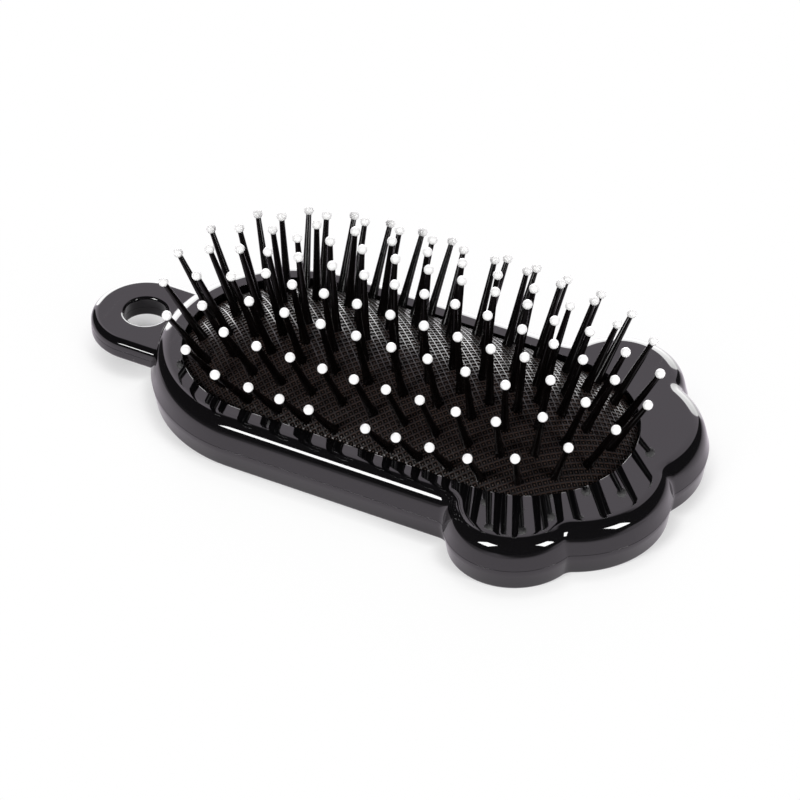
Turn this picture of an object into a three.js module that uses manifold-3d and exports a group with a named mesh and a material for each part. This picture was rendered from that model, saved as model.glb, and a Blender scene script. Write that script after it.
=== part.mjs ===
// A palm-sized cushion hair brush, lying on its back with its pins up.
// Units are millimetres and +Z is up. +X points to the toes, and the hanging ring is at -X.
// The origin is under the middle of the brush, on the surface that it lies on.

import * as THREE from 'three';
import { mergeVertices } from 'three/addons/utils/BufferGeometryUtils.js';
import Module from 'manifold-3d';

const wasm = await Module();
wasm.setup();

// Outline of the body, seen from above. The rear arc is centred on x = 0.
const bodyHalfWidth = 30;
const outerToeX = 63.8;
const outerToeY = 23.9;
const outerToeRadius = 14.6;
const innerToeX = 69.3;
const innerToeY = 8.4;
const innerToeRadius = 20.8;
const toeNotchRadius = 2;
const waistRadius = 2;

// Heights and section of the body.
const partingHeight = 5.4;
const deckHeight = 11.6;
const rimRoundHeight = 2.9;
const rimRoundWidth = 3.34;
const frontDraft = 0.92;
const backDraft = 0.79;
const backEdgeRadius = 0.8;
const wallThickness = 1.8;
const deckThickness = 2;
const floorThickness = 2;

// Joint between the two shells, and the posts that hold the clamp ring.
const fitClearance = 0.3;
const tongueDepth = 1.5;
const tongueThickness = 0.9;
const tongueLedge = 0.7;
const postCount = 8;
const postRadius = 0.8;
const postHeadRadius = 1.4;
const postHeadHeight = 0.8;

// Hanging ring. Its heights are measured from the parting line.
const ringStandoff = 5.6;
const ringRadius = 11.6;
const ringDepthBelow = 2.2;
const ringHeightAbove = 2.5;
const ringTopRound = 1.7;
const ringBottomRound = 0.8;
const boreRadius = 4.7;
const boreRound = 1;

// Window in the deck, and the pad that fills it. The window's rear end is concentric with
// the body's rear arc. The pad's middle rises above the deck, and its edge lies below it.
const windowBorder = 6.6;
const windowHalfLength = 27.3;
const padGap = 0.4;
const padThickness = 1.9;
const padRise = 8.45;
const padSideSink = 0.69;
const padEndSink = 1.84;
const padEndPower = 3.38;
const flangeThickness = 1.4;
const skirtThickness = 1.6;

// Clamp ring under the flange.
const clampThickness = 1.2;
const clampLip = 0.5;

// Pins. Heights are measured from the pad's surface along the pin's axis.
const pinTipHeight = 16.5;
const ballRadius = 1.05;
const shaftRadius = 0.56;
const collarRadius = 1.15;
const collarHeight = 3.3;
const collarTopRadius = 0.86;
const neckRadius = 0.6;
const stripWidth = 2.4;
const stripThickness = 1;
const stripDrop = 0.45;
const centrePinCount = 8;
const centrePinPitch = 6.84;

// Each ring of pins is a long loop round the centre line. The outermost one keeps a margin
// to the window, and the others lie inside it at shares of its radius. Short is how far a
// loop's straight sides stop short of the window's. Push moves the pins along the loop,
// towards its ends or its sides, and open leaves out the middle pin of each side. Bow draws
// the loops in towards both ends of the pad, by a share of their width.
const pinMargin = 2.05;
const pinBow = 0.14;
const firstRingShort = 3.15;
const secondRingShort = 2.78;
const thirdRingShort = 2.95;
const fourthRingShort = 2.25;
const firstRingPush = -1.66;
const secondRingPush = -0.99;
const thirdRingPush = -0.15;
const fourthRingPush = 2.3;
const pinRings = [
  { name: '1', share: 0.267, short: firstRingShort, slots: 20, push: firstRingPush, open: false },
  { name: '2', share: 0.496, short: secondRingShort, slots: 22, push: secondRingPush, open: false },
  { name: '3', share: 0.765, short: thirdRingShort, slots: 28, push: thirdRingPush, open: false },
  { name: '4', share: 1, short: fourthRingShort, slots: 32, push: fourthRingPush, open: true },
];
const stripLetters = ['a', 'b', 'c', 'd'];

// How finely the round stretches are divided.
const rearArcSteps = 16;
const toeArcSteps = 8;
const notchSteps = 2;
const roundSteps = 3;
const loopArcSteps = 12;
const loopSideSteps = 6;
const ringArcSteps = 12;
const boreSides = 16;
const postSides = 6;
const pinSides = 4;
const ballLatitudes = [-Math.PI / 10, Math.PI / 5];
const crownShares = [0, 0.3, 0.6, 0.8, 1];
const overcut = 1;

// Heights and reaches that follow from the values above.
const deckUnderside = deckHeight - deckThickness;
const flangeTop = deckUnderside - fitClearance;
const flangeBottom = flangeTop - flangeThickness;
const clampTop = flangeBottom - fitClearance;
const clampBottom = clampTop - clampThickness;
const windowRadius = bodyHalfWidth - windowBorder;
const windowCentreX = windowHalfLength;
const padReach = windowRadius - padGap;
const padCrown = deckHeight + padRise;
const padSideDrop = padRise + padSideSink;
const padEndDrop = padRise + padEndSink;
const padEndReach = windowHalfLength + padReach;
const padArchRadius = (padReach ** 2 + padSideDrop ** 2) / (2 * padSideDrop);
const tongueOutside = wallThickness + fitClearance;
const tongueInside = tongueOutside + tongueThickness;
const insideReach = bodyHalfWidth - tongueInside - fitClearance;
const postOffset = (windowRadius + insideReach) / 2;
const postHoleRadius = postRadius + fitClearance;
const ringCentreX = -bodyHalfWidth - ringStandoff;
const ringBottom = partingHeight - ringDepthBelow;
const ringTop = partingHeight + ringHeightAbove;
const toeEnd = innerToeX + innerToeRadius;
const ringEnd = ringCentreX - ringRadius;

// A closed mesh becomes a solid once its shared corners are merged.
function toSolid(geometry) {
  geometry.deleteAttribute('normal');
  geometry.deleteAttribute('uv');
  const merged = mergeVertices(geometry, 1e-4);
  const index = merged.index.array;
  const triangles = [];
  for (let i = 0; i < index.length; i += 3) {
    const [a, b, c] = [index[i], index[i + 1], index[i + 2]];
    if (a !== b && b !== c && c !== a) triangles.push(a, b, c);
  }
  return new wasm.Manifold(new wasm.Mesh({
    numProp: 3,
    vertProperties: new Float32Array(merged.attributes.position.array),
    triVerts: new Uint32Array(triangles),
  }));
}

// A solid becomes a mesh again, with its own colour, roughness and metalness.
function toMesh(name, solid, finish) {
  const { vertProperties, triVerts } = solid.getMesh();
  const geometry = new THREE.BufferGeometry();
  geometry.setAttribute('position', new THREE.BufferAttribute(vertProperties, 3));
  geometry.setIndex(new THREE.BufferAttribute(triVerts, 1));
  geometry.computeVertexNormals();
  const mesh = new THREE.Mesh(geometry, new THREE.MeshStandardMaterial(finish));
  mesh.name = name;
  return mesh;
}

// Points along an arc, from one angle to another, without the last one.
function arcPoints(centre, radius, from, to, steps) {
  const points = [];
  for (let i = 0; i < steps; i += 1) {
    const angle = from + (to - from) * i / steps;
    points.push(new THREE.Vector2(
      centre.x + radius * Math.cos(angle),
      centre.y + radius * Math.sin(angle),
    ));
  }
  return points;
}

// The angle at which one centre sees another.
function bearing(from, to) {
  return Math.atan2(to.y - from.y, to.x - from.x);
}

// The centre of the fillet that eases the notch between two circles.
function notchCentre(a, radiusA, b, radiusB, fillet) {
  const toB = b.clone().sub(a);
  const span = toB.length();
  const reachA = radiusA + fillet;
  const reachB = radiusB + fillet;
  const along = (reachA ** 2 - reachB ** 2 + span ** 2) / (2 * span);
  const aside = Math.sqrt(reachA ** 2 - along ** 2);
  const unit = toB.divideScalar(span);
  return new THREE.Vector2(
    a.x + unit.x * along + unit.y * aside,
    a.y + unit.y * along - unit.x * aside,
  );
}

// The paw-shaped outline, drawn in by an inset. The circles keep their centres: a toe's
// radius shrinks by the inset and a notch's grows by it, so every inset has as many points.
function bodyOutline(inset) {
  const rear = new THREE.Vector2(0, 0);
  const inner = new THREE.Vector2(innerToeX, innerToeY);
  const innerMirror = new THREE.Vector2(innerToeX, -innerToeY);
  const outer = new THREE.Vector2(outerToeX, outerToeY);
  const middleNotch = notchCentre(innerMirror, innerToeRadius, inner, innerToeRadius, toeNotchRadius);
  const sideNotch = notchCentre(inner, innerToeRadius, outer, outerToeRadius, toeNotchRadius);
  const waistY = bodyHalfWidth + waistRadius;
  const waistRun = Math.sqrt((outerToeRadius + waistRadius) ** 2 - (waistY - outerToeY) ** 2);
  const waist = new THREE.Vector2(outerToeX - waistRun, waistY);
  const notch = toeNotchRadius + inset;
  const upper = [
    ...arcPoints(middleNotch, notch, Math.PI, bearing(middleNotch, inner), 1),
    ...arcPoints(inner, innerToeRadius - inset, bearing(inner, middleNotch),
      bearing(inner, sideNotch), toeArcSteps),
    ...arcPoints(sideNotch, notch, bearing(sideNotch, inner) + 2 * Math.PI,
      bearing(sideNotch, outer) + 2 * Math.PI, notchSteps),
    ...arcPoints(outer, outerToeRadius - inset, bearing(outer, sideNotch),
      bearing(outer, waist), toeArcSteps),
    ...arcPoints(waist, waistRadius + inset, bearing(waist, outer), -Math.PI / 2, notchSteps),
    new THREE.Vector2(waist.x, bodyHalfWidth - inset),
    ...arcPoints(rear, bodyHalfWidth - inset, Math.PI / 2, Math.PI, rearArcSteps / 2),
    new THREE.Vector2(inset - bodyHalfWidth, 0),
  ];
  const lower = upper.slice(1, -1).reverse();
  return [...upper, ...lower.map((point) => new THREE.Vector2(point.x, -point.y))];
}

// The hanging ring's outline: a round end and two straight edges that run into the body.
function ringOutline(inset) {
  const halfWidth = ringRadius - inset;
  const root = wallThickness / 2 - Math.sqrt(bodyHalfWidth ** 2 - ringRadius ** 2);
  const centre = new THREE.Vector2(ringCentreX, 0);
  return [
    ...arcPoints(centre, halfWidth, Math.PI / 2, 1.5 * Math.PI, ringArcSteps),
    new THREE.Vector2(ringCentreX, -halfWidth),
    new THREE.Vector2(root, -halfWidth),
    new THREE.Vector2(root, halfWidth),
  ];
}

// A stadium: points at one offset from the window's centre line, starting where the near
// side meets the toe end and going round once, anticlockwise from above.
function stadium(offset) {
  const right = new THREE.Vector2(windowCentreX + windowHalfLength, 0);
  const left = new THREE.Vector2(windowCentreX - windowHalfLength, 0);
  const points = arcPoints(right, offset, -Math.PI / 2, Math.PI / 2, loopArcSteps);
  for (let i = 0; i < loopSideSteps; i += 1) {
    points.push(new THREE.Vector2(right.x - 2 * windowHalfLength * i / loopSideSteps, offset));
  }
  points.push(...arcPoints(left, offset, Math.PI / 2, 1.5 * Math.PI, loopArcSteps));
  for (let i = 0; i < loopSideSteps; i += 1) {
    points.push(new THREE.Vector2(left.x + 2 * windowHalfLength * i / loopSideSteps, -offset));
  }
  return points;
}

// Cap triangles for a level ring of any outline, seen from above.
function levelCap(ring) {
  return THREE.ShapeUtils.triangulateShape(ring.map((point) => new THREE.Vector2(point.x, point.y)), []);
}

// Cap triangles for a convex ring that lies in any plane.
function fanCap(ring) {
  return ring.slice(2).map((_, i) => [0, i + 1, i + 2]);
}

// Triangles between rings of as many points each, anticlockwise when seen from beyond the
// first ring, with caps on the first and the last ring unless these close on themselves.
function skin(rings, cap) {
  const count = rings[0].length;
  const positions = rings.flat().flatMap((point) => [point.x, point.y, point.z]);
  const index = [];
  for (let r = 0; r + 1 < rings.length; r += 1) {
    for (let i = 0; i < count; i += 1) {
      const next = (i + 1) % count;
      const [a, b] = [r * count + i, (r + 1) * count + i];
      const [c, d] = [(r + 1) * count + next, r * count + next];
      index.push(a, b, c, a, c, d);
    }
  }
  if (cap) {
    const base = (rings.length - 1) * count;
    for (const face of cap(rings[0])) index.push(...face);
    for (const [a, b, c] of cap(rings.at(-1))) index.push(base + a, base + c, base + b);
  }
  const geometry = new THREE.BufferGeometry();
  geometry.setAttribute('position', new THREE.Float32BufferAttribute(positions, 3));
  geometry.setIndex(index);
  return toSolid(geometry);
}

// A solid whose outline changes with height. Layers are [height, inset], top first.
function loft(outline, layers) {
  return skin(layers.map(([height, inset]) => (
    outline(inset).map((point) => new THREE.Vector3(point.x, point.y, height))
  )), levelCap);
}

// A straight-sided solid between two heights.
function prism(points, bottom, top) {
  const settings = { depth: top - bottom, bevelEnabled: false };
  const geometry = new THREE.ExtrudeGeometry(new THREE.Shape(points), settings);
  return toSolid(geometry.translate(0, 0, bottom));
}

// A turned solid about the vertical axis. The profile is [radius, height], bottom first.
function turned(profile, sides, matrix) {
  const points = profile.map(([radius, height]) => new THREE.Vector2(radius, height));
  const geometry = new THREE.LatheGeometry(points, sides);
  geometry.rotateX(Math.PI / 2);
  geometry.applyMatrix4(matrix);
  return toSolid(geometry);
}

// Layers of a quarter round, from its flat top down to the wall that it ends on.
function roundLayers(top, wallInset, width, height, steps) {
  const layers = [];
  for (let i = 0; i <= steps; i += 1) {
    const angle = (Math.PI / 2) * (1 - i / steps);
    layers.push([
      top - height + height * Math.sin(angle),
      wallInset + width * (1 - Math.cos(angle)),
    ]);
  }
  return layers;
}

// How far the back shell's wall stands in from the parting line's outline at a height.
function backInset(height) {
  return backDraft * (partingHeight - height) / (partingHeight - backEdgeRadius);
}

// Height of the pad's upper surface: an arch across the brush that drops at both ends.
function padHeight(x, y) {
  const across = padArchRadius - Math.sqrt(padArchRadius ** 2 - y ** 2);
  const along = Math.abs((x - windowCentreX) / padEndReach) ** padEndPower;
  return padCrown - across - padEndDrop * along;
}

// The direction that stands square on the pad's upper surface.
function padNormal(x, y) {
  const run = (x - windowCentreX) / padEndReach;
  const slopeX = -padEndDrop * padEndPower * Math.sign(run)
    * Math.abs(run) ** (padEndPower - 1) / padEndReach;
  const slopeY = -y / Math.sqrt(padArchRadius ** 2 - y ** 2);
  return new THREE.Vector3(-slopeX, -slopeY, 1).normalize();
}

// Where the posts stand, evenly round the window.
function postPlaces() {
  const loop = stadium(postOffset);
  return Array.from({ length: postCount }, (_, i) => (
    loop[Math.round((i + 0.5) * loop.length / postCount)]
  ));
}

// The profile of a straight round cutter.
function holeProfile(radius, bottom, top) {
  return [[0, bottom], [radius, bottom], [radius, top], [0, top]];
}

// Cutters for the holes that the posts pass through, in a piece between two heights.
function postHoles(bottom, top) {
  const profile = holeProfile(postHoleRadius, bottom - overcut, top + overcut);
  return postPlaces().map((place) => (
    turned(profile, postSides, new THREE.Matrix4().makeTranslation(place.x, place.y, 0))
  ));
}

// The turned cutter for the hanging ring's hole, with rounded mouths.
function boreCutter() {
  const profile = [[0, ringBottom - overcut], [boreRadius + boreRound, ringBottom - overcut]];
  for (let i = 0; i <= roundSteps; i += 1) {
    const angle = (Math.PI / 2) * i / roundSteps;
    const radius = boreRadius + boreRound * (1 - Math.sin(angle));
    profile.push([radius, ringBottom + boreRound * (1 - Math.cos(angle))]);
  }
  for (let i = roundSteps; i >= 0; i -= 1) {
    const angle = (Math.PI / 2) * i / roundSteps;
    const radius = boreRadius + boreRound * (1 - Math.sin(angle));
    profile.push([radius, ringTop - boreRound * (1 - Math.cos(angle))]);
  }
  profile.push([boreRadius + boreRound, ringTop + overcut], [0, ringTop + overcut]);
  return turned(profile, boreSides, new THREE.Matrix4().makeTranslation(ringCentreX, 0, 0));
}

// Upper half of the body: window, rim round, upper half of the hanging ring, a tongue
// that locates it in the back shell, and posts with staked heads for the clamp ring.
function frontShell() {
  const outside = loft(bodyOutline, [
    ...roundLayers(deckHeight, frontDraft, rimRoundWidth, rimRoundHeight, roundSteps),
    [partingHeight, 0],
  ]);
  const ringHalf = loft(ringOutline, [
    ...roundLayers(ringTop, 0, ringTopRound, ringTopRound, roundSteps),
    [partingHeight, 0],
  ]);
  const hollow = loft(bodyOutline, [
    [deckUnderside, wallThickness + frontDraft],
    [partingHeight, wallThickness],
    [partingHeight - overcut, wallThickness],
  ]);
  const tongueBottom = partingHeight - tongueDepth;
  const ledgeTop = partingHeight + tongueLedge;
  const drop = backInset(tongueBottom);
  const tongue = loft(bodyOutline, [
    [ledgeTop, wallThickness / 2],
    [partingHeight, wallThickness / 2],
    [partingHeight, tongueOutside],
    [tongueBottom, tongueOutside + drop],
  ]).subtract(loft(bodyOutline, [
    [ledgeTop + overcut, tongueInside],
    [partingHeight, tongueInside],
    [tongueBottom - overcut, tongueInside + drop + overcut],
  ]));
  const opening = prism(stadium(windowRadius), deckUnderside - overcut, deckHeight + overcut);
  const headTop = clampBottom - fitClearance;
  const posts = postPlaces().map((place) => turned([
    [0, headTop - postHeadHeight],
    [postHeadRadius, headTop - postHeadHeight],
    [postHeadRadius, headTop],
    [postRadius, headTop],
    [postRadius, deckUnderside + deckThickness / 2],
    [0, deckUnderside + deckThickness / 2],
  ], postSides, new THREE.Matrix4().makeTranslation(place.x, place.y, 0)));
  const shell = outside.add(ringHalf).subtract(hollow).add(tongue).subtract(opening);
  return posts.reduce((solid, post) => solid.add(post), shell).subtract(boreCutter());
}

// Lower half of the body: a floor, a drafted wall and the lower half of the hanging ring.
function backShell() {
  const lowerEdge = roundLayers(0, backDraft, backEdgeRadius, -backEdgeRadius, roundSteps);
  const outside = loft(bodyOutline, [[partingHeight, 0], ...lowerEdge.reverse()]);
  const ringEdge = roundLayers(ringBottom, 0, ringBottomRound, -ringBottomRound, roundSteps);
  const ringHalf = loft(ringOutline, [[partingHeight, 0], ...ringEdge.reverse()]);
  const hollow = loft(bodyOutline, [
    [partingHeight + overcut, wallThickness],
    [partingHeight, wallThickness],
    [floorThickness, wallThickness + backInset(floorThickness)],
  ]);
  return outside.add(ringHalf).subtract(hollow).subtract(boreCutter());
}

// The rubber pad: a crowned skin of even thickness, a skirt that passes through the
// window, a flange under the deck, a hole for every pin and one for every post.
function cushionPad(pins) {
  const skirtInside = padReach - skirtThickness;
  const level = (offset, height) => (
    stadium(offset).map((point) => new THREE.Vector3(point.x, point.y, height))
  );
  const crowned = (offset, drop) => stadium(offset).map((point) => (
    new THREE.Vector3(point.x, point.y, padHeight(point.x, point.y) - drop)
  ));
  const body = skin([
    ...crownShares.map((share) => crowned(share * padReach, 0)),
    level(padReach, flangeTop),
    level(insideReach, flangeTop),
    level(insideReach, flangeBottom),
    level(skirtInside, flangeBottom),
    ...crownShares.toReversed().map((share) => crowned(share * skirtInside, padThickness)),
  ], null);
  const pinHoleRadius = neckRadius + fitClearance / Math.cos(Math.PI / pinSides);
  const pinHole = holeProfile(pinHoleRadius, -padThickness - overcut, overcut);
  const pinHoles = pins.map((pin) => turned(pinHole, pinSides, pin.matrix));
  const holes = [...pinHoles, ...postHoles(flangeBottom, flangeTop)];
  return holes.reduce((solid, hole) => solid.subtract(hole), body);
}

// The flat ring that presses the pad's flange up against the deck.
function padClampRing() {
  const outside = prism(stadium(insideReach), clampBottom, clampTop);
  const inside = prism(stadium(windowRadius - clampLip), clampBottom - overcut, clampTop + overcut);
  const holes = postHoles(clampBottom, clampTop);
  return holes.reduce((solid, hole) => solid.subtract(hole), outside.subtract(inside));
}

// A pin's place on the pad: its foot, its axis and the matrix that stands it there.
function pinAt(x, y) {
  const foot = new THREE.Vector3(x, y, padHeight(x, y));
  const axis = padNormal(x, y);
  const turn = new THREE.Quaternion().setFromUnitVectors(new THREE.Vector3(0, 0, 1), axis);
  const matrix = new THREE.Matrix4().compose(foot, turn, new THREE.Vector3(1, 1, 1));
  return { foot, axis, matrix };
}

// The point at a distance along a loop of two straight sides and two round ends,
// measured from the middle of its toe end.
function loopPoint(halfLength, radius, distance) {
  const quarter = radius * Math.PI / 2;
  const side = 2 * halfLength;
  const whole = 4 * quarter + 2 * side;
  const along = (distance + whole) % whole;
  if (along < quarter) {
    const angle = along / radius;
    return [halfLength + radius * Math.cos(angle), radius * Math.sin(angle)];
  }
  if (along < quarter + side) return [halfLength - (along - quarter), radius];
  if (along < 3 * quarter + side) {
    const angle = Math.PI / 2 + (along - quarter - side) / radius;
    return [radius * Math.cos(angle) - halfLength, radius * Math.sin(angle)];
  }
  if (along < 3 * quarter + 2 * side) return [along - 3 * quarter - side - halfLength, -radius];
  const angle = (along - whole) / radius;
  return [halfLength + radius * Math.cos(angle), radius * Math.sin(angle)];
}

// The pins of one ring, cut into four strips. Each strip is a list of pins.
function ringStrips(ring) {
  const radius = ring.share * (windowRadius - pinMargin);
  const halfLength = windowHalfLength - ring.short;
  const whole = 2 * Math.PI * radius + 4 * halfLength;
  const perStrip = ring.slots / stripLetters.length;
  return stripLetters.map((letter, part) => {
    const pins = [];
    for (let k = Math.ceil(part * perStrip); k < (part + 1) * perStrip; k += 1) {
      const middleOfSide = k % (ring.slots / 2) === ring.slots / 4;
      if (ring.open && middleOfSide) continue;
      const share = k / ring.slots;
      const distance = whole * share + ring.push * Math.sin(4 * Math.PI * share);
      const [x, y] = loopPoint(halfLength, radius, distance);
      const drawnIn = 1 - pinBow * (x / padEndReach) ** 2;
      pins.push(pinAt(windowCentreX + x, y * drawnIn));
    }
    return { name: `pin_strip_${ring.name}${letter}`, pins };
  });
}

// The straight row of pins on the centre line.
function centreStrip() {
  const pins = Array.from({ length: centrePinCount }, (_, i) => (
    pinAt(windowCentreX + (i - (centrePinCount - 1) / 2) * centrePinPitch, 0)
  ));
  return { name: 'pin_strip_centre', pins };
}

// How far the middle of a strip lies under the pad's surface, along a pin's axis.
function stripDepth(pin) {
  return padThickness * pin.axis.z + stripDrop + stripThickness / 2;
}

// One pin: a neck through the pad, a conical collar, a tapered shaft and a ball at the tip.
function pinSolid(pin) {
  return turned([
    [0, -stripDepth(pin)],
    [neckRadius, -stripDepth(pin)],
    [neckRadius, fitClearance],
    [collarRadius, fitClearance],
    [collarTopRadius, collarHeight],
    [shaftRadius, pinTipHeight - Math.sqrt(ballRadius ** 2 - shaftRadius ** 2)],
    ...ballLatitudes.map((latitude) => [
      ballRadius * Math.cos(latitude),
      pinTipHeight + ballRadius * Math.sin(latitude),
    ]),
    [0, pinTipHeight + ballRadius],
  ], pinSides, pin.matrix);
}

// The bar behind the pad that joins the necks of a strip's pins. Its section stands square
// on the path through the pins, and it runs half its width past the first and last pin.
function barSolid(pins) {
  const path = pins.map((pin) => pin.foot.clone().addScaledVector(pin.axis, -stripDepth(pin)));
  const last = pins.length - 1;
  const rings = pins.map((pin, i) => {
    const before = path[Math.max(i - 1, 0)];
    const after = path[Math.min(i + 1, last)];
    const ahead = after.clone().sub(before).normalize();
    const aside = ahead.clone().cross(pin.axis).normalize();
    const up = aside.clone().cross(ahead);
    const overrun = stripWidth / 2 * (Number(i === last) - Number(i === 0));
    const middle = path[i].clone().addScaledVector(ahead, overrun);
    return [[1, -1], [1, 1], [-1, 1], [-1, -1]].map(([side, level]) => (
      middle.clone()
        .addScaledVector(aside, side * stripWidth / 2)
        .addScaledVector(up, level * stripThickness / 2)
    ));
  });
  return skin(rings, fanCap);
}

// A strip of pins moulded in one piece.
function pinStrip(pins) {
  return pins.reduce((solid, pin) => solid.add(pinSolid(pin)), barSolid(pins));
}

const glossBlack = { color: 0x0b0a0c, roughness: 0.12, metalness: 0 };
const rubberBlack = { color: 0x17161a, roughness: 0.6, metalness: 0 };
const pinBlack = { color: 0x0e0d10, roughness: 0.25, metalness: 0 };
const insideGrey = { color: 0x2a2a2c, roughness: 0.5, metalness: 0 };

const strips = [centreStrip(), ...pinRings.flatMap(ringStrips)];
const allPins = strips.flatMap((strip) => strip.pins);

const group = new THREE.Group();
group.position.x = -(toeEnd + ringEnd) / 2;
group.add(toMesh('back_shell', backShell(), glossBlack));
group.add(toMesh('front_shell', frontShell(), glossBlack));
group.add(toMesh('cushion_pad', cushionPad(allPins), rubberBlack));
group.add(toMesh('pad_clamp_ring', padClampRing(), insideGrey));
for (const strip of strips) group.add(toMesh(strip.name, pinStrip(strip.pins), pinBlack));

export default group;
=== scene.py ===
# %% [markdown]
# A palm-sized cushion hair brush lies on its back with its pins up. A gloss black body in
# the shape of a paw holds a crowned rubber pad, and 108 pins with white ball tips stand in
# the pad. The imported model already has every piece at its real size. This lesson gives each
# piece the surface that the eye sees, in the same place, and then lights and frames it.

import bmesh
import bpy
import numpy as np
from mathutils import Matrix, Vector


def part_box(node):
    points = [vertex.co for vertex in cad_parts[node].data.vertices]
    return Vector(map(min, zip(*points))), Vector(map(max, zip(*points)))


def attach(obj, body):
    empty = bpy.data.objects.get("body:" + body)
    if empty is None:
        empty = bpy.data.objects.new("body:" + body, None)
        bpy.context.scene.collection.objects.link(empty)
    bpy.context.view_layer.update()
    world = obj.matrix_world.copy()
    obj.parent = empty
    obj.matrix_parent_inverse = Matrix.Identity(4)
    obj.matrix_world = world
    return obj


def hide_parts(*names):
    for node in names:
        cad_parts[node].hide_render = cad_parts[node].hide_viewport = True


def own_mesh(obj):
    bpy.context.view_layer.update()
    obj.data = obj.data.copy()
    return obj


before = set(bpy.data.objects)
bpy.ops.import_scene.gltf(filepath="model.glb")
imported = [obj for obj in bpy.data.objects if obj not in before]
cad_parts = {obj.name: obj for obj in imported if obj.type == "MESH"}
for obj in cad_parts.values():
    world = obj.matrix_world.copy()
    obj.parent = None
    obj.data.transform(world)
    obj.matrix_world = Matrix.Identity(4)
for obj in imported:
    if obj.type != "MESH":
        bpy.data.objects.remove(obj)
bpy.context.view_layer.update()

# %% [markdown]
# The sizes are the ones that the solids were made with. They are written once here, in
# millimetres times `mm`, and every surface below is worked out from them. The brush is drawn
# with x = 0 at the centre of the body's round rear end, so one more value, `rear_x`, says
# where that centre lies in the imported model.

# %% Sizes of the body
mm = 0.001
body_half_width = 30 * mm
outer_toe = np.array([63.8, 23.9]) * mm
outer_toe_radius = 14.6 * mm
inner_toe = np.array([69.3, 8.4]) * mm
inner_toe_radius = 20.8 * mm
toe_notch_radius = 2 * mm
waist_radius = 2 * mm

parting_height = 5.4 * mm
deck_height = 11.6 * mm
rim_width = 4.26 * mm
back_draft = 0.79 * mm
back_edge_radius = 0.8 * mm
wall_thickness = 1.8 * mm
deck_thickness = 2 * mm
floor_thickness = 2 * mm
fit_clearance = 0.3 * mm

ring_standoff = 5.6 * mm
ring_radius = 11.6 * mm
ring_depth_below = 2.2 * mm
ring_height_above = 2.5 * mm
ring_top_round = 1.7 * mm
ring_bottom_round = 0.8 * mm
bore_radius = 4.7 * mm
bore_round = 0.6 * mm

rear_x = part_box("back_shell")[0][0] + ring_radius + ring_standoff + body_half_width
print("rear centre at x =", round(1000 * rear_x, 2), "mm")

# %% Sizes of the window and the pad
window_border = 6.6 * mm
window_half_length = 27.3 * mm
window_radius = body_half_width - window_border
pad_gap = 0.4 * mm
pad_reach = window_radius - pad_gap
pad_thickness = 1.9 * mm
pad_crown = deck_height + 8.45 * mm
pad_side_drop = 9.14 * mm
pad_end_drop = 10.29 * mm
pad_end_power = 3.38
pad_end_reach = window_half_length + pad_reach
pad_arch_radius = (pad_reach ** 2 + pad_side_drop ** 2) / (2 * pad_side_drop)
flange_top = deck_height - deck_thickness - fit_clearance
flange_bottom = flange_top - 1.4 * mm
flange_reach = body_half_width - 3.3 * mm
skirt_thickness = 1.6 * mm
print("pad", round(2000 * pad_end_reach, 1), "by", round(2000 * pad_reach, 1), "mm")

# %% [markdown]
# Every surface here is a grid of points with four-sided faces between them. The points are
# worked out as whole arrays and written into the mesh in one call, which is far quicker than
# adding them one by one. A grid may close on itself in either direction. Where a row of
# points shrinks to a line or a point, merging the doubles closes the surface there.

# %% Helpers that turn grids of points into pieces
merge_distance = 0.002 * mm


def grid_faces(rows, columns, close_rows=False, close_columns=True, first=0):
    """Quads of a grid of points numbered row by row: point (r, c) has number r * columns + c,
    and each quad joins it to its neighbours in the next column and the next row."""
    r = np.arange(rows if close_rows else rows - 1)[:, None]
    c = np.arange(columns if close_columns else columns - 1)[None, :]
    next_r, next_c = (r + 1) % rows, (c + 1) % columns
    corners = [r * columns + c, r * columns + next_c, next_r * columns + next_c, next_r * columns + c]
    return first + np.stack([corner.ravel() for corner in corners], axis=1)


def make_piece(name, points, faces, body=None, material=None, sharp=38):
    """Makes a mesh object from points in brush coordinates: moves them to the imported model,
    merges doubles, turns the faces outwards and shades smooth across all but sharp edges."""
    points = np.asarray(points, dtype=np.float32).reshape(-1, 3) + [rear_x, 0, 0]
    mesh = bpy.data.meshes.new(name)
    mesh.vertices.add(len(points))
    mesh.vertices.foreach_set("co", points.astype(np.float32).ravel())
    mesh.loops.add(faces.size)
    mesh.loops.foreach_set("vertex_index", faces.astype(np.int32).ravel())
    mesh.polygons.add(len(faces))
    mesh.polygons.foreach_set("loop_start", np.arange(0, faces.size, 4, dtype=np.int32))
    mesh.update(calc_edges=True)
    cleaner = bmesh.new()
    cleaner.from_mesh(mesh)
    bmesh.ops.remove_doubles(cleaner, verts=cleaner.verts, dist=merge_distance)
    bmesh.ops.recalc_face_normals(cleaner, faces=cleaner.faces)
    open_edges = sum(1 for edge in cleaner.edges if not edge.is_manifold)
    cleaner.to_mesh(mesh)
    cleaner.free()
    mesh.shade_smooth()
    mesh.set_sharp_from_angle(angle=np.radians(sharp))
    piece = bpy.data.objects.new(name, mesh)
    bpy.context.scene.collection.objects.link(piece)
    if material:
        mesh.materials.append(material)
    if body:
        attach(piece, body)
    print(f"{name}: {len(mesh.polygons)} faces, {open_edges} open edges")
    return piece


# %% [markdown]
# An effect that several finishes share is a node group: it is built once and placed in each
# material with its own values. Three effects are enough for this brush. Fine scuffs are the
# hairline marks that any gloss plastic carries, dust is a scatter of small pale specks, and
# moulded grain is the faint unevenness of a moulded surface.

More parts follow.
